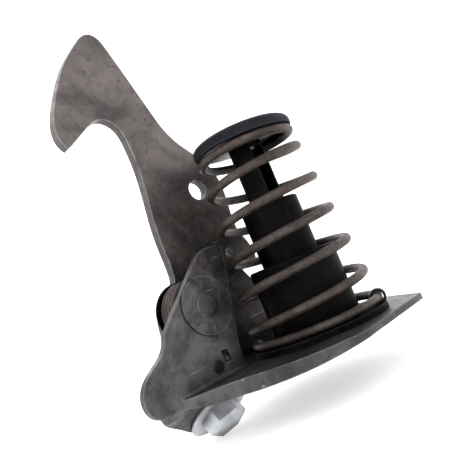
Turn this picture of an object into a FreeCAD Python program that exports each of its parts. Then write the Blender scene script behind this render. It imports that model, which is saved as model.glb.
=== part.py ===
import FreeCAD, Part
import os
import math
import Sketcher
from FreeCAD import Vector, Placement, Rotation

# Bonnet catch: a stamped bracket carries a sprung, telescoping bump post and a sprung safety hook.
# Frame: millimetres, origin on the post's axis at the underside of the base plate, +Z up the post,
# +X along the hook's plate, +Y through the hook's pivot, from the cheek towards the hook.
# Heights in the sheet are measured from the seat of the main spring; every piece is lifted by the
# seat's height above the underside just before it is written.

doc = FreeCAD.newDocument("bonnet_catch")
sheet = doc.addObject("Spreadsheet::Sheet", "Sizes")

SIZES = {
    "SheetThick": 2.5,        # bracket sheet
    "PlateTop": -2.4,         # top of the base plate; the guide tube's flange makes up the rest
    "CheekFront": 11.0,       # front face of the pivot cheek
    "FootTilt": 35.0,         # slope of the folded foot below the horizontal, degrees
    "FoldLevel": -4.5,        # outer corner of the cheek and the foot
    "BoltRadius": 5.0,
    "BoltX": -42.0,
    "BoltReach": 15.2,        # from the fold, down the slope of the foot
    "HeadHeight": 6.2,
    "HeadFlats": 14.0,
    "WasherThick": 1.0,
    "WasherRadius": 12.4,
    "NutHeight": 5.0,
    "FixingRadius": 4.25,
    "FixingLeft": -22.0,
    "FixingRight": 28.0,
    "FixingBack": 42.0,
    "PivotX": -38.0,
    "PivotZ": 23.8,
    "PivotRadius": 4.0,
    "BossRadius": 11.0,
    "BossRise": 0.7,
    "HookFront": 27.0,
    "HookThick": 4.0,
    "HookHoleRadius": 4.3,
    "HookHoleX": -8.1,
    "HookHoleZ": 69.0,
    "LegHoleRadius": 1.7,
    "LegHoleX": -5.0,
    "LegHoleZ": 40.0,
    "LegSlotX": -38.2,
    "LegSlotZ": 3.6,
    "StopX": -43.2,
    "StopZ": 2.2,
    "StopRadius": 2.0,
    "TorsionWire": 2.2,
    "TorsionRadius": 10.7,
    "SpringWire": 3.5,
    "SpringFoot": 25.0,       # wire centre radius at the bottom coil
    "SpringTop": 18.4,        # wire centre radius at the top coil
    "SpringHeight": 76.4,
    "FlangeRadius": 27.5,
    "TubeRadius": 17.3,
    "TubeWall": 1.5,
    "TubeTop": 28.1,
    "SleeveRadius": 11.5,
    "SleeveWall": 1.3,
    "SleeveFoot": 24.7,
    "SleeveTop": 50.6,
    "StemRadius": 6.7,
    "StemWall": 1.4,
    "StemFoot": 47.4,
    "Running": 0.08,          # radial running clearance of the telescoping stages
    "StageLip": 1.4,          # thickness of each stage's lip and flange
    "CapRadius": 20.3,
    "CapTop": 81.8,
    "CapPlateRadius": 18.6,
    "CapPlateThick": 1.5,
    "RivetPitch": 20.3,
    "RivetRadius": 1.5,
    "ClipTurn": -53.0,        # where the clip holds the bottom coil, degrees about +Z
}
for row, (alias, value) in enumerate(SIZES.items(), start=1):
    sheet.set(f"A{row}", alias)
    sheet.set(f"B{row}", str(value))
    sheet.setAlias(f"B{row}", alias)
doc.recompute()


def size(alias):
    return float(getattr(sheet, alias))


PIECES = []


def new_body(name):
    body = doc.addObject("PartDesign::Body", name)
    body.Label = name
    PIECES.append(body)
    return body


def new_feature(name, shape, placement=None):
    piece = doc.addObject("Part::Feature", name)
    piece.Label = name
    piece.Shape = shape
    piece.Placement = placement or Placement()
    PIECES.append(piece)
    return piece


def new_sketch(body, name, plane, offset=None):
    sketch = body.newObject("Sketcher::SketchObject", name)
    origin_plane = next(f for f in body.Origin.OriginFeatures if f.Role == plane)
    sketch.AttachmentSupport = [(origin_plane, "")]
    sketch.MapMode = "FlatFace"
    if offset is not None:
        sketch.AttachmentOffset = offset
    return sketch


def bound_polygon(sketch, corners):
    """Closed outline whose corner coordinates follow expressions of the sheet."""
    values = [[evaluate(sketch, text) for text in corner] for corner in corners]
    count = len(corners)
    for i in range(count):
        start, end = Vector(*values[i], 0), Vector(*values[(i + 1) % count], 0)
        sketch.addGeometry(Part.LineSegment(start, end), False)
    for i in range(count):
        sketch.addConstraint(Sketcher.Constraint("Coincident", i, 2, (i + 1) % count, 1))
    for i, corner in enumerate(corners):
        for kind, text, value in zip(("DistanceX", "DistanceY"), corner, values[i]):
            index = sketch.addConstraint(Sketcher.Constraint(kind, i, 1, value))
            sketch.setExpression(f"Constraints[{index}]", text)


def bound_circle(sketch, centre, radius):
    values = [evaluate(sketch, text) for text in (*centre, radius)]
    circle = Part.Circle(Vector(values[0], values[1], 0), Vector(0, 0, 1), values[2])
    index = sketch.addGeometry(circle, False)
    kinds = (("DistanceX", centre[0], values[0]), ("DistanceY", centre[1], values[1]))
    for kind, text, value in kinds:
        number = sketch.addConstraint(Sketcher.Constraint(kind, index, 3, value))
        sketch.setExpression(f"Constraints[{number}]", text)
    number = sketch.addConstraint(Sketcher.Constraint("Radius", index, values[2]))
    sketch.setExpression(f"Constraints[{number}]", radius)


def evaluate(owner, text):
    result = owner.evalExpression(text)
    return float(getattr(result, "Value", result))


def pad(body, name, sketch, length, reverse=False):
    feature = body.newObject("PartDesign::Pad", name)
    feature.Profile = sketch
    feature.setExpression("Length", length)
    feature.Reversed = reverse
    doc.recompute()
    return feature


def pocket_through(body, name, sketch):
    before = body.Shape.Volume
    feature = body.newObject("PartDesign::Pocket", name)
    feature.Profile = sketch
    feature.Type = 1
    feature.Midplane = True
    doc.recompute()
    if body.Shape.Volume >= before:
        raise RuntimeError(f"{name} cut nothing")
    return feature


def turned(name, corners, rounds=()):
    """A piece turned about Z from an outline of (radius, height) expressions."""
    body = new_body(name)
    sketch = new_sketch(body, name + "_profile", "XZ_Plane")
    bound_polygon(sketch, corners)
    spin = body.newObject("PartDesign::Revolution", name + "_turn")
    spin.Profile = sketch
    spin.ReferenceAxis = (sketch, ["V_Axis"])
    spin.Angle = 360
    doc.recompute()
    for number, (height, radius, amount) in enumerate(rounds):
        round_ring(body, f"{name}_round{number}", height, radius, amount)
    return body


def round_ring(body, name, height, radius, amount):
    """Fillets the circular edge at a given height and radius."""
    chosen = []
    for number, edge in enumerate(body.Shape.Edges, start=1):
        curve = edge.Curve
        if not isinstance(curve, Part.Circle) or abs(curve.Axis.z) < 0.99:
            continue
        if abs(curve.Radius - radius) < 0.02 and abs(curve.Center.z - height) < 0.02:
            chosen.append(f"Edge{number}")
    feature = body.newObject("PartDesign::Fillet", name)
    feature.Base = (body.Tip if body.Tip != feature else feature.BaseFeature, chosen)
    feature.Radius = amount
    doc.recompute()


def round_edge_at(body, name, point, amount):
    """Fillets the straight edge nearest to a point on it."""
    probe = Part.Vertex(*point)
    base = body.Tip
    straight = [i for i, edge in enumerate(base.Shape.Edges, start=1)
                if isinstance(edge.Curve, Part.Line)]
    nearest = min(straight, key=lambda i: base.Shape.Edges[i - 1].distToShape(probe)[0])
    feature = body.newObject("PartDesign::Fillet", name)
    feature.Base = (base, [f"Edge{nearest}"])
    feature.Radius = amount
    doc.recompute()


def curve_through(points):
    spline = Part.BSplineCurve()
    spline.interpolate([Vector(x, y, 0) for x, y in points])
    return spline


def chain(sketch, *stretches):
    """Joins stretches of an outline: two points make a line, more make a smooth curve."""
    for points in stretches:
        if len(points) == 2:
            start, end = (Vector(x, y, 0) for x, y in points)
            sketch.addGeometry(Part.LineSegment(start, end), False)
        else:
            sketch.addGeometry(curve_through(points), False)


# ---------------------------------------------------------------- bracket
def base_bracket():
    body = new_body("base_bracket")

    plate = new_sketch(body, "plate_outline", "XY_Plane")
    left_front = [(-64, 13.5), (-57, 5), (-50.6, -3), (-46.5, -12), (-39, -26), (-27.5, -35.4),
                  (-18.5, -38.6)]
    right_edge = [(26.5, -30.2), (27.4, -28.2), (42.3, -1), (46, 12), (45, 30), (41, 46), (36, 50)]
    back_left = [(-28, 50), (-31.8, 48.6), (-33.3, 45)]
    chain(plate, left_front, [left_front[-1], right_edge[0]], right_edge,
          [right_edge[-1], back_left[0]], back_left, [back_left[-1], (-33.3, 13.5)],
          [(-33.3, 13.5), left_front[0]])
    plate.AttachmentOffset = Placement(Vector(0, 0, size("PlateTop")), Rotation())
    pad(body, "plate", plate, "Sizes.SheetThick", reverse=True)

    # The plate's front edge turns down into a lip that deepens towards the foot.
    underside = size("PlateTop") - size("SheetThick")
    lip = new_sketch(body, "lip_outline", "XY_Plane", Placement(Vector(0, 0, underside), Rotation()))
    lip_inside = [(-17.9, -36.2), (-26.2, -33.1), (-37, -24.4), (-44.3, -11), (-48.5, -1.8),
                  (-55, 6.6), (-61.4, 13.5)]
    chain(lip, left_front, [left_front[-1], lip_inside[0]], lip_inside,
          [lip_inside[-1], left_front[0]])
    pad(body, "front_lip", lip, "4.5", reverse=True)
    slope = new_sketch(body, "lip_slope", "XZ_Plane")
    skin = "Sizes.PlateTop - Sizes.SheetThick"
    bound_polygon(slope, [("-18.6", f"{skin} - 0.05"), ("-47", f"{skin} - 2.8"),
                          ("-55.5", f"{skin} - 2.6"), ("-63.8", f"{skin} - 0.1"),
                          ("-70", f"{skin} - 0.1"), ("-70", "-14"), ("-16", "-14"),
                          ("-16", f"{skin} - 0.05")])
    pocket_through(body, "lip_taper", slope)

    # The cheek stands on the plate's left front and flares to a round corner over the foot.
    cheek = new_sketch(body, "cheek_outline", "XZ_Plane",
                       Placement(Vector(0, 0, -size("CheekFront")), Rotation()))
    fold = size("FoldLevel")
    flare = [(-72.2, fold), (-75.1, -1.5), (-75.4, 4), (-71.6, 9.2), (-64.3, 13.6), (-59.3, 20.2)]
    crown = [(-36, 40.2), (-32.5, 42.8), (-29, 43.7)]
    shoulder = [(-23.5, 43.6), (-21.8, 42.4), (-21.8, 39.5)]
    right_side = [(-21.8, 39.5), (-24.6, 29), (-27, 20), (-30.2, 9), (-31.5, fold)]
    chain(cheek, flare, [flare[-1], crown[0]], crown, [crown[-1], shoulder[0]], shoulder,
          right_side, [right_side[-1], flare[0]])
    pad(body, "cheek", cheek, "Sizes.SheetThick", reverse=True)

    # The foot folds back under the cheek and slopes down to carry the fixing bolt.
    tilt = Rotation(Vector(1, 0, 0), -size("FootTilt"))
    foot = new_sketch(body, "foot_outline", "XY_Plane",
                      Placement(Vector(0, size("CheekFront"), fold), tilt))
    chain(foot, [(-72.2, 0), (-69.5, 5), (-61, 13.5), (-52, 22), (-46, 25.5), (-38, 26)],
          [(-38, 26), (-35, 22), (-33.8, 14), (-33.6, 0)], [(-33.6, 0), (-72.2, 0)])
    pad(body, "foot", foot, "Sizes.SheetThick")

    # A return flange stiffens the cheek's right edge, and a tab stands up behind the spring.
    fin = new_sketch(body, "return_outline", "XY_Plane",
                     Placement(Vector(0, 0, size("PlateTop")), Rotation()))
    bound_polygon(fin, [("-34", "Sizes.CheekFront + 1"), ("-31.5", "Sizes.CheekFront + 1"),
                        ("-31.5", "20"), ("-34", "20")])
    pad(body, "return_flange", fin, "8")
    tab = new_sketch(body, "tab_outline", "XZ_Plane", Placement(Vector(0, 0, -33), Rotation()))
    bound_polygon(tab, [("-25", "Sizes.PlateTop - 1"), ("11", "Sizes.PlateTop - 1"),
                        ("9", "21"), ("3", "32"), ("-21", "32"), ("-24", "28")])
    pad(body, "rear_tab", tab, "Sizes.SheetThick", reverse=True)

    fold_line = (-45, size("CheekFront"), size("PlateTop"))
    round_edge_at(body, "inner_fold", fold_line, 1.4)

    boss = new_sketch(body, "boss_outline", "XZ_Plane",
                      Placement(Vector(0, 0, -size("CheekFront")), Rotation()))
    bound_circle(boss, ("Sizes.PivotX", "Sizes.PivotZ"), "Sizes.BossRadius")
    pad(body, "boss", boss, "Sizes.BossRise")

    holes = new_sketch(body, "cheek_holes", "XZ_Plane",
                       Placement(Vector(0, 0, -size("CheekFront")), Rotation()))
    bound_circle(holes, ("Sizes.PivotX", "Sizes.PivotZ"), "Sizes.PivotRadius")
    bound_circle(holes, ("Sizes.StopX", "Sizes.StopZ"), "Sizes.StopRadius")
    cut_depth(body, "cheek_bores", holes, 7)

    slot = new_sketch(body, "leg_slot", "XZ_Plane",
                      Placement(Vector(0, 0, -size("CheekFront")), Rotation()))
    bound_polygon(slot, [("-40", "6.9"), ("-36.9", "6.9"), ("-36.2", "0.8"), ("-39.3", "0.8")])
    cut_depth(body, "leg_anchor", slot, 7)

    fixing = new_sketch(body, "fixing_holes", "XY_Plane")
    for side in ("Sizes.FixingLeft", "Sizes.FixingRight"):
        bound_circle(fixing, (side, "Sizes.FixingBack"), "Sizes.FixingRadius")
    bound_rivet_circles(fixing)
    pocket_through(body, "plate_bores", fixing)

    bolt = new_sketch(body, "bolt_hole", "XY_Plane",
                      Placement(Vector(0, size("CheekFront"), fold), tilt))
    bound_circle(bolt, ("Sizes.BoltX", "Sizes.BoltReach"), "Sizes.BoltRadius + 0.3")
    cut_depth(body, "bolt_bore", bolt, 4)
    return body


def bound_rivet_circles(sketch):
    """The four rivets of the guide tube stand on a circle, at 45 degrees to the axes."""
    for turn in range(4):
        angle = math.radians(45 + 90 * turn)
        bound_circle(sketch, (f"Sizes.RivetPitch * {math.cos(angle):.4f}",
                              f"Sizes.RivetPitch * {math.sin(angle):.4f}"), "Sizes.RivetRadius")


def cut_depth(body, name, sketch, depth):
    """Cuts a short way each side of the sketch."""
    before = body.Shape.Volume
    feature = body.newObject("PartDesign::Pocket", name)
    feature.Profile = sketch
    feature.Type = 0
    feature.Length = 2 * depth
    feature.Midplane = True
    doc.recompute()
    if body.Shape.Volume >= before:
        raise RuntimeError(f"{name} cut nothing")


# ---------------------------------------------------------------- hook and pivot
def hook_lever():
    body = new_body("hook_lever")
    back = size("HookFront") + size("HookThick")
    outline = new_sketch(body, "hook_outline", "XZ_Plane", Placement(Vector(0, 0, -back), Rotation()))
    crown = [(-57.6, 96.2), (-59.9, 100.4), (-59.4, 107), (-54.7, 117), (-45, 131), (-38.6, 137.2),
             (-34, 140.9), (-30.5, 141.8), (-27.2, 140.2), (-24.8, 135.6), (-22, 126.8), (-16.2, 107.5),
             (-10.6, 93.2), (-3, 84.5), (3.6, 76), (5.2, 67.5), (4.3, 57), (4.3, 47.5), (6.9, 41.5),
             (8, 35.5), (5.2, 31)]
    belly = [(5.2, 31), (-3, 31.2), (-14, 27), (-25, 17.4), (-33, 12.6), (-40, 11), (-45.4, 6)]
    heel_left = [(-51, 1.2), (-50.4, 9), (-48.6, 19), (-47.2, 26), (-43.4, 31.4), (-38, 34.4),
                 (-35.2, 39)]
    throat = [(-35.2, 39), (-35, 46), (-35, 54), (-33.8, 66), (-32, 80), (-32, 94), (-34.4, 102.4),
              (-40, 105.6), (-47, 103), (-54.3, 98.2), (-57.6, 96.2)]
    chain(outline, crown, belly, [belly[-1], (-45.4, 1.2)], [(-45.4, 1.2), heel_left[0]],
          heel_left, throat)
    pad(body, "hook_plate", outline, "Sizes.HookThick")
    holes = new_sketch(body, "hook_holes", "XZ_Plane")
    bound_circle(holes, ("Sizes.PivotX", "Sizes.PivotZ"), "Sizes.PivotRadius + 1.06")
    bound_circle(holes, ("Sizes.HookHoleX", "Sizes.HookHoleZ"), "Sizes.HookHoleRadius")
    bound_circle(holes, ("Sizes.LegHoleX", "Sizes.LegHoleZ"), "Sizes.LegHoleRadius")
    pocket_through(body, "hook_bores", holes)
    return body


def lying_turned(name, corners, x, z):
    """A piece turned about an axis along Y: corners are (radius, distance along Y)."""
    body = turned(name, corners)
    body.Placement = Placement(Vector(x, 0, z), Rotation(Vector(1, 0, 0), -90))
    return body


def pivot_pieces():
    x, z = size("PivotX"), size("PivotZ")
    front = "Sizes.CheekFront - Sizes.BossRise"
    tail = "Sizes.HookFront + Sizes.HookThick + 1.4"
    shank = "Sizes.PivotRadius - 0.05"
    lying_turned("pivot_stud", [
        ("0", f"{front} - 0.9"), ("3.0", f"{front} - 0.9"), ("4.6", f"{front} - 0.35"), ("4.8", front),
        (shank, front), (shank, tail), ("5.4", tail), ("5.4", f"{tail} + 0.8"),
        ("3.4", f"{tail} + 2"), ("0", f"{tail} + 2")], x, z)
    lying_turned("pivot_bush", [
        ("Sizes.PivotRadius", "Sizes.CheekFront + Sizes.SheetThick + 0.05"),
        ("6.6", "Sizes.CheekFront + Sizes.SheetThick + 0.05"), ("6.6", "Sizes.HookFront - 0.3"),
        ("Sizes.PivotRadius + 1", "Sizes.HookFront - 0.3"),
        ("Sizes.PivotRadius + 1", "Sizes.HookFront + Sizes.HookThick + 0.1"),
        ("Sizes.PivotRadius", "Sizes.HookFront + Sizes.HookThick + 0.1")], x, z)
    lying_turned("spring_retainer", [
        ("6.65", "Sizes.HookFront - 1.1"), ("12.3", "Sizes.HookFront - 1.1"),
        ("12.3", "Sizes.HookFront - 0.35"), ("6.65", "Sizes.HookFront - 0.35")], x, z)
    lying_turned("pivot_washer", [
        ("Sizes.PivotRadius", "Sizes.HookFront + Sizes.HookThick + 0.2"),
        ("8.2", "Sizes.HookFront + Sizes.HookThick + 0.2"),
        ("8.2", f"{tail} - 0.02"), ("Sizes.PivotRadius", f"{tail} - 0.02")], x, z)
    lying_turned("stop_pin", [
        ("0", "Sizes.CheekFront - 0.5"), ("1.9", "Sizes.CheekFront - 0.5"),
        ("2.4", "Sizes.CheekFront"), ("Sizes.StopRadius", "Sizes.CheekFront"),
        ("Sizes.StopRadius", "Sizes.HookFront + Sizes.HookThick + 0.6"),
        ("0", "Sizes.HookFront + Sizes.HookThick + 0.6")], size("StopX"), size("StopZ"))


def round_wire(points, radius):
    """Sweeps a round wire along a smooth curve through the points."""
    spline = Part.BSplineCurve()
    spline.interpolate(points)
    start = spline.value(spline.FirstParameter)
    heading = spline.tangent(spline.FirstParameter)[0]
    ring = Part.Wire([Part.Circle(start, heading, radius).toShape()])
    shape = Part.Wire([spline.toShape()]).makePipeShell([ring], True, True)
    return shape


def torsion_spring_points():
    """A leg out of the cheek's slot, then the coils up to the retainer."""
    x, z = size("PivotX"), size("PivotZ")
    radius, wire = size("TorsionRadius"), size("TorsionWire")
    first = size("CheekFront") + size("SheetThick") + 0.5 + wire / 2
    last = size("HookFront") - 1.4 - wire / 2
    leg_x, leg_z = size("LegSlotX"), size("LegSlotZ")
    points = [Vector(leg_x, first - 4.6, leg_z), Vector(leg_x, first - 2, leg_z),
              Vector(leg_x + 0.6, first - 0.3, leg_z + 1.2), Vector(leg_x + 2.5, first, leg_z + 4)]
    turns, start, steps = 4.45, math.radians(-60), 16
    count = int(turns * steps)
    for i in range(1, count + 1):
        share = i / count
        angle = start + share * turns * 2 * math.pi
        points.append(Vector(x + radius * math.cos(angle), first + share * (last - first),
                             z + radius * math.sin(angle)))
    return points


def main_spring_points():
    """Closed at both ends, with a smooth change of pitch and a straight taper."""
    wire = size("SpringWire")
    low, high = wire / 2, size("SpringHeight") - wire / 2
    first_turn, last_turn = -0.55, 6.2
    rise_centre, ramp = 0.08, 0.7
    fall_centre = 5.48
    pitch = (high - low) / (fall_centre - rise_centre)

    def ramped(turn, centre):
        across = min(max((turn - centre) / ramp + 0.5, 0), 1)
        beyond = max(turn - centre - ramp / 2, 0)
        return ramp * across * across / 2 + beyond

    steps = 14
    count = round((last_turn - first_turn) * steps)
    points = []
    for i in range(count + 1):
        turn = first_turn + (last_turn - first_turn) * i / count
        height = low + pitch * (ramped(turn, rise_centre) - ramped(turn, fall_centre))
        share = (height - low) / (high - low)
        radius = size("SpringFoot") + share * (size("SpringTop") - size("SpringFoot"))
        angle = math.radians(360 * turn - 36.7)
        points.append(Vector(radius * math.cos(angle), radius * math.sin(angle), height))
    return points


# ---------------------------------------------------------------- telescoping post
def post_pieces():
    flange = "Sizes.PlateTop"
    bore = "Sizes.TubeRadius - Sizes.TubeWall"
    tube = turned("guide_tube", [
        (bore, flange), ("Sizes.FlangeRadius", flange), ("Sizes.FlangeRadius", "0"),
        ("Sizes.TubeRadius", "0"), ("Sizes.TubeRadius", "Sizes.TubeTop"),
        ("Sizes.SleeveRadius + Sizes.Running", "Sizes.TubeTop"),
        ("Sizes.SleeveRadius + Sizes.Running", "Sizes.TubeTop - Sizes.StageLip"),
        (bore, "Sizes.TubeTop - Sizes.StageLip")],
        rounds=[(size("TubeTop"), size("TubeRadius"), 0.9)])
    holes = new_sketch(tube, "flange_holes", "XY_Plane")
    bound_rivet_circles(holes)
    pocket_through(tube, "flange_bores", holes)

    inner = "Sizes.SleeveRadius - Sizes.SleeveWall"
    turned("middle_sleeve", [
        (inner, "Sizes.SleeveFoot"), (f"{bore} - Sizes.Running", "Sizes.SleeveFoot"),
        (f"{bore} - Sizes.Running", "Sizes.SleeveFoot + Sizes.StageLip"),
        ("Sizes.SleeveRadius", "Sizes.SleeveFoot + Sizes.StageLip"),
        ("Sizes.SleeveRadius", "Sizes.SleeveTop"),
        ("Sizes.StemRadius + Sizes.Running", "Sizes.SleeveTop"),
        ("Sizes.StemRadius + Sizes.Running", "Sizes.SleeveTop - Sizes.StageLip"),
        (inner, "Sizes.SleeveTop - Sizes.StageLip")],
        rounds=[(size("SleeveTop"), size("SleeveRadius"), 0.8)])

    stem_bore = "Sizes.StemRadius - Sizes.StemWall"
    stem = turned("upper_stem", [
        (stem_bore, "Sizes.StemFoot"), (f"{inner} - Sizes.Running", "Sizes.StemFoot"),
        (f"{inner} - Sizes.Running", "Sizes.StemFoot + Sizes.StageLip"),
        ("Sizes.StemRadius", "Sizes.StemFoot + Sizes.StageLip"),
        ("Sizes.StemRadius", "Sizes.SpringHeight"), ("2.05", "Sizes.SpringHeight"),
        ("2.05", "Sizes.SpringHeight - 1.6"), (stem_bore, "Sizes.SpringHeight - 1.6")])
    # The stem is rolled sheet, open along one side above its flange.
    slot = new_sketch(stem, "stem_slot", "XZ_Plane")
    bound_polygon(slot, [("-3.1", "Sizes.SleeveTop + 0.8"), ("3.1", "Sizes.SleeveTop + 0.8"),
                         ("3.1", "Sizes.SpringHeight - 3"), ("-3.1", "Sizes.SpringHeight - 3")])
    before = stem.Shape.Volume
    cut = stem.newObject("PartDesign::Pocket", "stem_opening")
    cut.Profile = slot
    cut.Type = 0
    cut.setExpression("Length", "Sizes.StemRadius + 1")
    cut.Reversed = True
    doc.recompute()
    if stem.Shape.Volume >= before:
        raise RuntimeError("stem_opening cut nothing")


def cap_pieces():
    plate_top = "Sizes.SpringHeight + Sizes.CapPlateThick"
    turned("cap_plate", [
        ("2.05", "Sizes.SpringHeight"), ("Sizes.CapPlateRadius", "Sizes.SpringHeight"),
        ("Sizes.CapPlateRadius", plate_top), ("2.05", plate_top)])

    body = new_body("spring_cap")
    sketch = new_sketch(body, "cap_profile", "XZ_Plane")
    low = size("SpringHeight") + 0.05
    rim, top, shelf = size("CapRadius"), size("CapTop"), evaluate(sketch, plate_top)
    inside = size("CapPlateRadius") + 0.05
    rivet_seat = 4.6
    chain(sketch, [(rim - 0.4, low), (rim, low + 0.4)], [(rim, low + 0.4), (rim, low + 1.6)],
          [(rim, low + 1.6), (rim - 0.7, top - 1.7), (rim - 2.6, top - 0.5), (rim - 7, top - 0.08),
           (rivet_seat, top)])
    chain(sketch, [(rivet_seat, top), (rivet_seat, top - 2)], [(rivet_seat, top - 2), (2.05, top - 2)],
          [(2.05, top - 2), (2.05, shelf)], [(2.05, shelf), (inside, shelf)],
          [(inside, shelf), (inside, low)], [(inside, low), (rim - 0.4, low)])
    spin = body.newObject("PartDesign::Revolution", "cap_turn")
    spin.Profile = sketch
    spin.ReferenceAxis = (sketch, ["V_Axis"])
    spin.Angle = 360
    doc.recompute()

    turned("cap_rivet", [
        ("0", "Sizes.SpringHeight - 3.2"), ("3.6", "Sizes.SpringHeight - 3.2"),
        ("4", "Sizes.SpringHeight - 1.6"), ("2", "Sizes.SpringHeight - 1.6"),
        ("2", "Sizes.CapTop - 2"), ("4.2", "Sizes.CapTop - 2"), ("4.2", "Sizes.CapTop - 1.2"),
        ("2.6", "Sizes.CapTop - 0.2"), ("0", "Sizes.CapTop - 0.2")])


# ---------------------------------------------------------------- fixings
def fixing_pieces():
    tilt = math.radians(size("FootTilt"))
    seat = Vector(size("BoltX"), size("CheekFront") + size("BoltReach") * math.cos(tilt),
                  size("FoldLevel") - size("BoltReach") * math.sin(tilt))
    frame = Placement(seat, Rotation(Vector(1, 0, 0), -size("FootTilt")))

    head = new_body("flange_bolt")
    hexagon = new_sketch(head, "bolt_hexagon", "XY_Plane",
                         Placement(Vector(0, 0, -size("WasherThick")), Rotation()))
    across = 1 / math.cos(math.radians(30))
    bound_polygon(hexagon, hex_corners(f"Sizes.HeadFlats / 2 * {across:.5f}"))
    pad(head, "bolt_head", hexagon, "Sizes.HeadHeight", reverse=True)
    shank = new_sketch(head, "bolt_shank", "XY_Plane",
                       Placement(Vector(0, 0, -size("WasherThick")), Rotation()))
    bound_circle(shank, ("0", "0"), "Sizes.BoltRadius")
    pad(head, "bolt_thread", shank, "Sizes.WasherThick + Sizes.SheetThick + Sizes.NutHeight + 1.6")
    chamfer_hexagon(head, -size("WasherThick") - size("HeadHeight"))
    head.Placement = frame * Placement(Vector(), Rotation(Vector(0, 0, 1), -21))

    washer = turned("bolt_washer", [
        ("Sizes.BoltRadius + 0.25", "-Sizes.WasherThick"),
        ("Sizes.WasherRadius", "-Sizes.WasherThick"), ("Sizes.WasherRadius", "0"),
        ("Sizes.BoltRadius + 0.25", "0")])
    washer.Placement = frame

    nut = new_body("bolt_nut")
    hexagon = new_sketch(nut, "nut_hexagon", "XY_Plane",
                         Placement(Vector(0, 0, size("SheetThick")), Rotation()))
    bound_polygon(hexagon, hex_corners(f"Sizes.HeadFlats / 2 * {across:.5f}"))
    bound_circle(hexagon, ("0", "0"), "Sizes.BoltRadius")
    pad(nut, "nut_body", hexagon, "Sizes.NutHeight")
    nut.Placement = frame * Placement(Vector(), Rotation(Vector(0, 0, 1), 30))

    underside = size("PlateTop") - size("SheetThick")
    rivet = Part.makeCylinder(size("RivetRadius"), -underside, Vector(0, 0, underside))
    one = rivet.fuse(Part.makeCone(2.2, 1.4, 1.0, Vector(0, 0, 0))).removeSplitter()
    group = []
    for turn in range(4):
        angle = math.radians(45 + 90 * turn)
        copy = one.copy()
        copy.translate(Vector(math.cos(angle), math.sin(angle), 0) * size("RivetPitch"))
        group.append(copy)
    new_feature("guide_tube_rivets", Part.makeCompound(group))

    # The clip arches over the bottom coil and stands on the guide tube's flange.
    wire = size("SpringWire") / 2
    reach = size("SpringFoot") - 0.05
    centre = Vector(reach, -2, wire + 0.45)
    arch = Part.makeCylinder(wire + 1.4, 4, centre, Vector(0, 1, 0))
    arch = arch.cut(Part.makeCylinder(wire + 0.3, 4, centre, Vector(0, 1, 0)))
    arch = arch.common(Part.makeBox(2 * wire + 6, 4, 2 * wire + 6,
                                    Vector(reach - wire - 3, -2, 0)))
    turn = Rotation(Vector(0, 0, 1), size("ClipTurn"))
    new_feature("spring_clip", arch, Placement(Vector(), turn))


def hex_corners(radius):
    corners = []
    for turn in range(6):
        angle = math.radians(60 * turn)
        corners.append((f"{radius} * {math.cos(angle):.5f}", f"{radius} * {math.sin(angle):.5f}"))
    return corners


def chamfer_hexagon(body, level):
    """Takes the corners off the outer end of the bolt's head."""
    base = body.Tip
    chosen = [f"Edge{i}" for i, edge in enumerate(body.Shape.Edges, start=1)
              if isinstance(edge.Curve, Part.Line)
              and all(abs(v.Z - level) < 1e-4 for v in edge.Vertexes)]
    feature = body.newObject("PartDesign::Chamfer", "head_chamfer")
    feature.Base = (base, chosen)
    feature.Size = 1.0
    doc.recompute()


def lift_to_origin():
    lift = Vector(0, 0, size("SheetThick") - size("PlateTop"))
    for piece in PIECES:
        piece.Placement = Placement(lift, Rotation()) * piece.Placement


def check_and_export():
    doc.recompute()
    for thing in doc.Objects:
        if "Invalid" in thing.State or "Error" in thing.State:
            raise RuntimeError(f"{thing.Name} failed: {thing.State}")
    os.makedirs("parts", exist_ok=True)
    for piece in PIECES:
        shape = piece.Shape
        if shape.isNull() or not shape.isValid():
            raise RuntimeError(f"{piece.Label} has no valid shape")
        shape.exportStep(f"parts/{piece.Label}.step")
        print(piece.Label, round(shape.Volume, 1), "mm3,", len(shape.Solids), "solid(s)")


base_bracket()
hook_lever()
pivot_pieces()
new_feature("torsion_spring", round_wire(torsion_spring_points(), size("TorsionWire") / 2))
new_feature("main_spring", round_wire(main_spring_points(), size("SpringWire") / 2))
post_pieces()
cap_pieces()
fixing_pieces()
lift_to_origin()
check_and_export()
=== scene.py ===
import math
import bmesh
import bpy
from mathutils import Matrix, Vector

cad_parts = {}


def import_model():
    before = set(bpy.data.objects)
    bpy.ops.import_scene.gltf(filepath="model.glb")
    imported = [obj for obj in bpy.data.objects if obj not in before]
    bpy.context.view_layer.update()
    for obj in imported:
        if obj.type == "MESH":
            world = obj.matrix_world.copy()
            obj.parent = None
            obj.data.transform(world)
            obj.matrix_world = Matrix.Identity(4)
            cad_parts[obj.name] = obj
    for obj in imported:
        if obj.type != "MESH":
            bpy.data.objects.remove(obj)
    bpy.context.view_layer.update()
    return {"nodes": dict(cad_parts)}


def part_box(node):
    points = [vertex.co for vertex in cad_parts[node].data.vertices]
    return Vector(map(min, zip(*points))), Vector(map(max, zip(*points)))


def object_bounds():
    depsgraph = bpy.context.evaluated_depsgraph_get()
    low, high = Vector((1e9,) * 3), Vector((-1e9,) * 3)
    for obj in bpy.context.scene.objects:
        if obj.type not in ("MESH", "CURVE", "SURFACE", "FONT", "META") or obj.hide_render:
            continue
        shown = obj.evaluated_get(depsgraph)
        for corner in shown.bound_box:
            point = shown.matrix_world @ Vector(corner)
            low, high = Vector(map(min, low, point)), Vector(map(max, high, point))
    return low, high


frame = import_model()
nodes = frame["nodes"]


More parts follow.
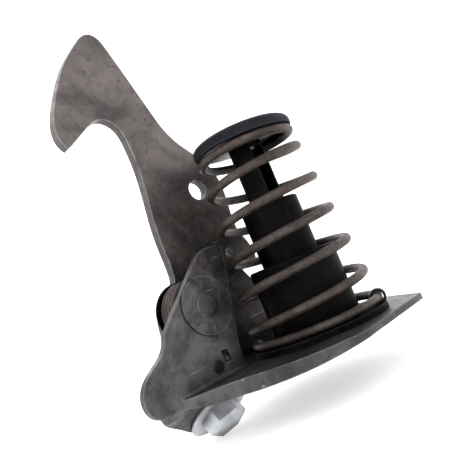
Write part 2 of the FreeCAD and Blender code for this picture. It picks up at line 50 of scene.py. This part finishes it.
# ---------------------------------------------------------------- material helpers
class Shader:
    """A node material with short calls for the nodes it needs."""

    def __init__(self, name):
        self.material = bpy.data.materials.new(name)
        self.material.use_nodes = True
        self.tree = self.material.node_tree
        self.out = self.tree.nodes["Principled BSDF"]
        self.place = self.add("ShaderNodeTexCoord").outputs["Object"]

    def add(self, kind, **settings):
        node = self.tree.nodes.new(kind)
        for key, value in settings.items():
            setattr(node, key, value)
        return node

    def link(self, source, target):
        self.tree.links.new(source, target)

    def noise(self, scale, detail=4.0, rough=0.55, distortion=0.0, stretch=None):
        texture = self.add("ShaderNodeTexNoise")
        texture.inputs["Scale"].default_value = scale
        texture.inputs["Detail"].default_value = detail
        texture.inputs["Roughness"].default_value = rough
        texture.inputs["Distortion"].default_value = distortion
        source = self.place
        if stretch is not None:
            mapping = self.add("ShaderNodeMapping")
            mapping.inputs["Scale"].default_value = stretch
            self.link(self.place, mapping.inputs["Vector"])
            source = mapping.outputs["Vector"]
        self.link(source, texture.inputs["Vector"])
        return texture.outputs["Fac"]

    def cells(self, scale):
        texture = self.add("ShaderNodeTexVoronoi")
        texture.inputs["Scale"].default_value = scale
        self.link(self.place, texture.inputs["Vector"])
        return texture.outputs["Distance"]

    def ramp(self, value, low, high, start=0.0, end=1.0):
        node = self.add("ShaderNodeMapRange")
        node.inputs["From Min"].default_value = low
        node.inputs["From Max"].default_value = high
        node.inputs["To Min"].default_value = start
        node.inputs["To Max"].default_value = end
        self.link(value, node.inputs["Value"])
        return node.outputs["Result"]

    def maths(self, operation, a, b):
        node = self.add("ShaderNodeMath", operation=operation)
        for socket, value in zip(node.inputs, (a, b)):
            if isinstance(value, (int, float)):
                socket.default_value = value
            else:
                self.link(value, socket)
        return node.outputs[0]

    def mix(self, factor, a, b):
        node = self.add("ShaderNodeMix", data_type="RGBA")
        for socket, value in zip((node.inputs[0], node.inputs[6], node.inputs[7]), (factor, a, b)):
            if isinstance(value, tuple):
                socket.default_value = (*value, 1.0)
            elif isinstance(value, (int, float)):
                socket.default_value = value
            else:
                self.link(value, socket)
        return node.outputs[2]

    def edges(self, radius, strength):
        """One near a convex edge, nothing on open faces."""
        rounded = self.add("ShaderNodeBevel", samples=6)
        rounded.inputs["Radius"].default_value = radius
        geometry = self.add("ShaderNodeNewGeometry")
        dot = self.add("ShaderNodeVectorMath", operation="DOT_PRODUCT")
        self.link(rounded.outputs["Normal"], dot.inputs[0])
        self.link(geometry.outputs["Normal"], dot.inputs[1])
        return self.ramp(dot.outputs["Value"], 0.995, 0.93, 0.0, strength)

    def crevice_shade(self, distance):
        """Painted shade mask from ambient occlusion: one in crevices, nothing in the open."""
        open_face, crevice = 0.9, 0.35
        shade = self.add("ShaderNodeAmbientOcclusion", samples=6)
        shade.inputs["Distance"].default_value = distance
        return self.ramp(shade.outputs["AO"], open_face, crevice)

    def bump(self, height, distance, strength=1.0, after=None):
        node = self.add("ShaderNodeBump")
        node.inputs["Strength"].default_value = strength
        node.inputs["Distance"].default_value = distance
        self.link(height, node.inputs["Height"])
        if after is not None:
            self.link(after, node.inputs["Normal"])
        return node.outputs["Normal"]

    def finish(self, colour, roughness, normal, metallic=0.0, specular=0.5):
        self.link(colour, self.out.inputs["Base Color"])
        self.link(roughness, self.out.inputs["Roughness"])
        self.link(normal, self.out.inputs["Normal"])
        if isinstance(metallic, (int, float)):
            self.out.inputs["Metallic"].default_value = metallic
        else:
            self.link(metallic, self.out.inputs["Metallic"])
        self.out.inputs["Specular IOR Level"].default_value = specular
        return self.material


def weathered_steel(name, dark, light, rust, rust_amount, edge, stains_and_painted_shade=(), wear=1.0):
    """Bare sheet steel dulled by years outdoors: blotches, thin rust, scratches, pits and rubbed edges.

    The patch list holds (centre, radius) in metres where the colour is darkened with oily grime and
    rust; a patch placed in shadow is painted shade."""
    s = Shader(name)
    blotch = s.noise(42.0, 6.0, 0.66, 0.8)
    smear = s.noise(150.0, 7.0, 0.66, 0.5)
    grain = s.noise(1500.0, 3.0, 0.65)
    pits = s.cells(560.0)
    colour = s.mix(s.ramp(blotch, 0.36, 0.64), dark, light)
    colour = s.mix(s.ramp(smear, 0.50, 0.70, 0.0, 0.40), colour, tuple(0.55 * c for c in dark))
    rust_noise = s.noise(85.0, 9.0, 0.72, 0.9)
    rust_mask = s.ramp(rust_noise, 0.66 - rust_amount, 0.76 - rust_amount, 0.0, 0.6)
    colour = s.mix(rust_mask, colour, rust)
    for dark_patch in stains_and_painted_shade:
        near = s.add("ShaderNodeVectorMath", operation="DISTANCE")
        s.link(s.place, near.inputs[0])
        near.inputs[1].default_value = dark_patch[0]
        ragged = s.maths("ADD", near.outputs["Value"], s.ramp(smear, 0.3, 0.7, 0.010, -0.010))
        # Darkened patch mask: real rust and grime on the hook, painted shade where a patch sits in
        # shadow on the bracket.
        stain_and_shade_mask = s.ramp(ragged, dark_patch[1], 0.35 * dark_patch[1], 0.0, 0.85)
        patchy = s.mix(s.ramp(rust_noise, 0.48, 0.60), tuple(0.22 * c for c in dark), rust)
        colour = s.mix(stain_and_shade_mask, colour, patchy)
    speck = s.ramp(s.noise(540.0, 3.0, 0.55), 0.63, 0.71, 0.0, 0.6)
    colour = s.mix(speck, colour, tuple(0.2 * c for c in rust))
    scratch = s.ramp(s.noise(260.0, 3.0, 0.5, 0.3, stretch=(0.12, 1.0, 1.6)), 0.685, 0.72, 0.0, 0.45)
    colour = s.mix(scratch, colour, edge)
    colour = s.mix(s.ramp(grain, 0.40, 0.75, 0.0, 0.22), colour, light)
    rubbed = s.maths("MULTIPLY", s.edges(0.0008, wear), s.ramp(smear, 0.34, 0.62, 1.0, 0.25))
    colour = s.mix(rubbed, colour, edge)
    # Painted shade: the colour is darkened towards near-black in crevices.
    shade = s.crevice_shade(0.014)
    colour = s.mix(s.maths("MULTIPLY", shade, 0.9), colour, (0.004, 0.0035, 0.0035))
    rough = s.ramp(smear, 0.3, 0.72, 0.30, 0.56)
    rough = s.maths("ADD", rough, s.maths("MULTIPLY", rust_mask, 0.25))
    normal = s.bump(s.ramp(pits, 0.0, 0.32), 0.00016, 0.35)
    normal = s.bump(grain, 0.00010, 0.5, after=normal)
    normal = s.bump(blotch, 0.0012, 0.35, after=normal)
    metal = s.maths("SUBTRACT", 0.72, s.maths("MULTIPLY", rust_mask, 0.5))
    return s.finish(colour, rough, normal, metal, 0.35)


def rusty_wire(name):
    """Drawn spring wire, brown-grey, rubbed bright in patches along its length."""
    s = Shader(name)
    patch = s.noise(60.0, 7.0, 0.68, 0.7)
    grain = s.noise(1700.0, 3.0, 0.65)
    flakes = s.noise(360.0, 6.0, 0.72, 0.3)
    colour = s.mix(s.ramp(patch, 0.36, 0.64), (0.018, 0.012, 0.010), (0.070, 0.053, 0.046))
    colour = s.mix(s.ramp(flakes, 0.50, 0.66, 0.0, 0.75), colour, (0.016, 0.0085, 0.0065))
    colour = s.mix(s.ramp(grain, 0.52, 0.74, 0.0, 0.4), colour, (0.15, 0.125, 0.115))
    colour = s.mix(s.ramp(s.noise(190.0, 4.0, 0.6), 0.62, 0.72, 0.0, 0.5), colour, (0.060, 0.030, 0.020))
    # Painted shade: the colour is darkened towards near-black in crevices.
    colour = s.mix(s.maths("MULTIPLY", s.crevice_shade(0.010), 0.85), colour, (0.004, 0.003, 0.003))
    rough = s.ramp(flakes, 0.3, 0.7, 0.34, 0.62)
    normal = s.bump(flakes, 0.00022, 0.55)
    normal = s.bump(grain, 0.00008, 0.6, after=normal)
    return s.finish(colour, rough, normal, 0.45, 0.3)


def satin_black(name):
    """Black-coated tube, dusty, with fine scuffs along the slide."""
    s = Shader(name)
    dust = s.noise(80.0, 7.0, 0.66, 0.5)
    scuff = s.noise(420.0, 4.0, 0.6, 0.2, stretch=(1.0, 1.0, 0.10))
    ring = s.noise(300.0, 3.0, 0.55, 0.0, stretch=(0.1, 0.1, 1.0))
    grain = s.noise(2400.0, 2.0, 0.5)
    colour = s.mix(s.ramp(dust, 0.42, 0.70), (0.0012, 0.0012, 0.0018), (0.0058, 0.0056, 0.0072))
    colour = s.mix(s.ramp(scuff, 0.60, 0.74, 0.0, 0.4), colour, (0.018, 0.0165, 0.0165))
    colour = s.mix(s.ramp(ring, 0.62, 0.72, 0.0, 0.35), colour, (0.016, 0.014, 0.013))
    colour = s.mix(s.edges(0.0005, 0.7), colour, (0.060, 0.056, 0.055))
    # Painted shade: the colour is darkened towards near-black in crevices.
    colour = s.mix(s.maths("MULTIPLY", s.crevice_shade(0.012), 0.85), colour, (0.0006, 0.0006, 0.0008))
    rough = s.ramp(dust, 0.3, 0.75, 0.34, 0.60)
    normal = s.bump(scuff, 0.00010, 0.4)
    normal = s.bump(grain, 0.00005, 0.4, after=normal)
    return s.finish(colour, rough, normal, 0.0, 0.03)


def worn_rubber(name):
    """Blue-black rubber, chalky where it has been pressed, with painted shade in the seams."""
    s = Shader(name)
    chalk = s.noise(90.0, 6.0, 0.65, 0.3)
    grain = s.noise(1900.0, 3.0, 0.6)
    colour = s.mix(s.ramp(chalk, 0.35, 0.72), (0.0028, 0.0031, 0.0050), (0.0130, 0.0138, 0.0195))
    colour = s.mix(s.ramp(s.noise(480.0, 4.0, 0.6), 0.60, 0.72, 0.0, 0.5), colour, (0.040, 0.038, 0.040))
    colour = s.mix(s.edges(0.0007, 0.35), colour, (0.060, 0.062, 0.068))
    # Painted shade: the colour is darkened in the seams.
    colour = s.mix(s.maths("MULTIPLY", s.crevice_shade(0.006), 0.75), colour, (0.0025, 0.0022, 0.0022))
    rough = s.ramp(chalk, 0.3, 0.75, 0.46, 0.68)
    normal = s.bump(grain, 0.00012, 0.45)
    normal = s.bump(chalk, 0.0005, 0.25, after=normal)
    return s.finish(colour, rough, normal, 0.0, 0.10)


def zinc_plate(name):
    """Pale zinc plate, softly spangled, with a little grey grime, and painted shade in the corners."""
    s = Shader(name)
    cloud = s.noise(150.0, 5.0, 0.55, 0.3)
    grain = s.noise(2200.0, 3.0, 0.6)
    colour = s.mix(s.ramp(cloud, 0.35, 0.7), (0.40, 0.41, 0.43), (0.62, 0.64, 0.66))
    colour = s.mix(s.ramp(s.noise(420.0, 4.0, 0.6), 0.62, 0.76, 0.0, 0.5), colour, (0.17, 0.17, 0.165))
    colour = s.mix(s.edges(0.0005, 0.6), colour, (0.60, 0.61, 0.62))
    # Painted shade: the colour is darkened in the corners.
    colour = s.mix(s.maths("MULTIPLY", s.crevice_shade(0.005), 0.75), colour, (0.035, 0.034, 0.033))
    rough = s.ramp(cloud, 0.3, 0.7, 0.34, 0.52)
    normal = s.bump(grain, 0.00006, 0.4)
    normal = s.bump(cloud, 0.0003, 0.2, after=normal)
    return s.finish(colour, rough, normal, 0.55)


# ---------------------------------------------------------------- pieces
SHARP_ANGLE = 35.0        # degrees between faces above which a corner is softened
WELD_DISTANCE = 0.000002  # metres


def dress(node, material, bevel):
    """A CAD node keeps its shape; its corners are softened and its curves shaded smooth."""
    piece = nodes[node]
    mesh = piece.data
    mesh.materials.clear()
    mesh.materials.append(material)
    if "custom_normal" in mesh.attributes:
        mesh.attributes.remove(mesh.attributes["custom_normal"])
    mesh.shade_smooth()
    weld = piece.modifiers.new("weld", "WELD")
    weld.merge_threshold = WELD_DISTANCE
    if bevel:
        soften = piece.modifiers.new("soften", "BEVEL")
        soften.width = bevel
        soften.segments = 2
        soften.limit_method = "ANGLE"
        soften.angle_limit = math.radians(SHARP_ANGLE)
        soften.harden_normals = True
        soften.use_clamp_overlap = True


pivot_low, pivot_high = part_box("pivot_stud")
pivot = (pivot_low + pivot_high) / 2
hook_steel = weathered_steel("hook_steel", (0.047, 0.041, 0.040), (0.122, 0.106, 0.102),
                             (0.050, 0.028, 0.021), 0.045, (0.30, 0.29, 0.29),
                             [((pivot.x + 0.032, pivot.y, pivot.z + 0.014), 0.040)])
foot_low, foot_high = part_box("bolt_washer")
foot = (foot_low + foot_high) / 2
# Bracket patches: the two on the cheek beside and above the pivot are darkened; the one at the foot
# underside and the one on the rear tab behind the hook are painted shade.
bracket_steel = weathered_steel("bracket_steel", (0.027, 0.026, 0.028), (0.090, 0.088, 0.092),
                                (0.040, 0.028, 0.023), 0.0, (0.30, 0.305, 0.31),
                                [((pivot.x + 0.020, pivot.y - 0.012, pivot.z + 0.004), 0.027),
                                 ((pivot.x + 0.016, pivot.y - 0.010, pivot.z + 0.022), 0.026),
                                 ((foot.x - 0.004, foot.y, foot.z - 0.002), 0.024),
                                 ((0.0, 0.034, 0.02), 0.045)], 0.35)
small_steel = weathered_steel("small_steel", (0.022, 0.021, 0.021), (0.060, 0.057, 0.057),
                              (0.034, 0.021, 0.016), 0.04, (0.17, 0.165, 0.16))
dark_steel = weathered_steel("dark_steel", (0.0035, 0.0035, 0.0035), (0.010, 0.009, 0.009),
                             (0.012, 0.008, 0.007), 0.02, (0.035, 0.034, 0.034))
wire = rusty_wire("spring_wire")
black = satin_black("post_black")
rubber = worn_rubber("cap_rubber")
zinc = zinc_plate("zinc_plate")

# node: (material, width of its softened corners in metres)
FINISHES = {
    "base_bracket": (bracket_steel, 0.0005),
    "hook_lever": (hook_steel, 0.0004),
    "main_spring": (wire, 0.0),
    "torsion_spring": (wire, 0.0),
    "guide_tube": (black, 0.0003),
    "middle_sleeve": (black, 0.0003),
    "upper_stem": (black, 0.0002),
    "spring_cap": (rubber, 0.0003),
    "cap_plate": (dark_steel, 0.0002),
    "cap_rivet": (zinc, 0.0002),
    "guide_tube_rivets": (dark_steel, 0.0002),
    "spring_clip": (dark_steel, 0.0002),
    "spring_retainer": (dark_steel, 0.0001),
    "pivot_stud": (small_steel, 0.0003),
    "pivot_bush": (dark_steel, 0.0001),
    "pivot_washer": (small_steel, 0.0002),
    # The stop pin is near-black: painted shade standing in for the dark hole at its end.
    "stop_pin": (dark_steel, 0.0002),
    "flange_bolt": (zinc, 0.0006),
    "bolt_washer": (zinc, 0.0002),
    "bolt_nut": (zinc, 0.0004),
}
for node, (material, bevel) in FINISHES.items():
    dress(node, material, bevel)


# ---------------------------------------------------------------- studio
def studio():
    """A pale bowl: floor and wall in one curve, so no horizon shows from any side."""
    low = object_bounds()[0].z - 0.0005
    floor_radius, curve_radius, wall_height, segments = 0.9, 0.6, 1.5, 64
    profile = [(floor_radius, 0.0)]
    profile += [(floor_radius + curve_radius * math.sin(math.radians(a)),
                 curve_radius - curve_radius * math.cos(math.radians(a))) for a in range(10, 91, 10)]
    profile.append((floor_radius + curve_radius, wall_height))
    shape = bmesh.new()
    rings = []
    for radius, height in profile:
        rings.append([shape.verts.new((radius * math.cos(math.tau * i / segments),
                                       radius * math.sin(math.tau * i / segments), low + height))
                      for i in range(segments)])
    centre = shape.verts.new((0.0, 0.0, low))
    for i in range(segments):
        shape.faces.new((centre, rings[0][i], rings[0][(i + 1) % segments]))
        for inner, outer in zip(rings, rings[1:]):
            shape.faces.new((inner[i], outer[i], outer[(i + 1) % segments], inner[(i + 1) % segments]))
    mesh = bpy.data.meshes.new("studio_bowl")
    shape.to_mesh(mesh)
    shape.free()
    mesh.shade_smooth()
    bowl = bpy.data.objects.new("studio_bowl", mesh)
    bpy.context.scene.collection.objects.link(bowl)
    paint = Shader("studio_paint")
    colour = paint.mix(paint.noise(3.0, 2.0), (0.90, 0.90, 0.90), (0.93, 0.93, 0.93))
    rough = paint.ramp(paint.noise(20.0), 0.3, 0.7, 0.85, 0.95)
    paint.finish(colour, rough, paint.bump(paint.noise(200.0), 0.0001, 0.05), 0.0, 0.1)
    paint.out.inputs["Emission Color"].default_value = (1.0, 1.0, 1.0, 1.0)
    paint.out.inputs["Emission Strength"].default_value = 0.40
    mesh.materials.append(paint.material)


def area_light(name, place, target, size, power):
    light = bpy.data.lights.new(name, "AREA")
    light.shape = "DISK"
    light.size = size
    light.energy = power
    lamp = bpy.data.objects.new(name, light)
    lamp.location = place
    lamp.rotation_mode = "QUATERNION"
    lamp.rotation_quaternion = (Vector(target) - Vector(place)).to_track_quat("-Z", "Y")
    bpy.context.scene.collection.objects.link(lamp)


def camera():
    """Low, a little below the middle of the object, looking slightly up, and rolled to the left."""
    place = (-0.17678, -0.17678, 0.0328)
    right = Vector((0.71247, -0.58945, -0.3807))
    up = Vector((0.24641, -0.29781, 0.92227))
    back = right.cross(up)
    focal_length, sensor_width = 49.08, 36.0
    lens = bpy.data.cameras.new("camera")
    lens.sensor_width = sensor_width
    lens.lens = focal_length
    lens.clip_start = 0.01
    lens.clip_end = 20.0
    eye = bpy.data.objects.new("camera", lens)
    eye.matrix_world = Matrix.Translation(place) @ Matrix(
        ((right.x, up.x, back.x, 0.0), (right.y, up.y, back.y, 0.0),
         (right.z, up.z, back.z, 0.0), (0.0, 0.0, 0.0, 1.0)))
    bpy.context.scene.collection.objects.link(eye)
    bpy.context.scene.camera = eye


def world():
    sky = bpy.data.worlds.new("studio_sky")
    sky.use_nodes = True
    sky.node_tree.nodes["Background"].inputs["Color"].default_value = (1.0, 1.0, 1.0, 1.0)
    sky.node_tree.nodes["Background"].inputs["Strength"].default_value = 1.0
    bpy.context.scene.world = sky
    bpy.context.scene.view_settings.view_transform = "Standard"


studio()
middle = (-0.015, 0.01, 0.06)
area_light("key", (-0.55, -0.35, 0.75), middle, 1.8, 3.6)
area_light("fill", (0.45, -0.60, 0.30), middle, 0.9, 0.5)
area_light("rim", (0.25, 0.65, 0.55), middle, 0.7, 1.2)
world()
camera()
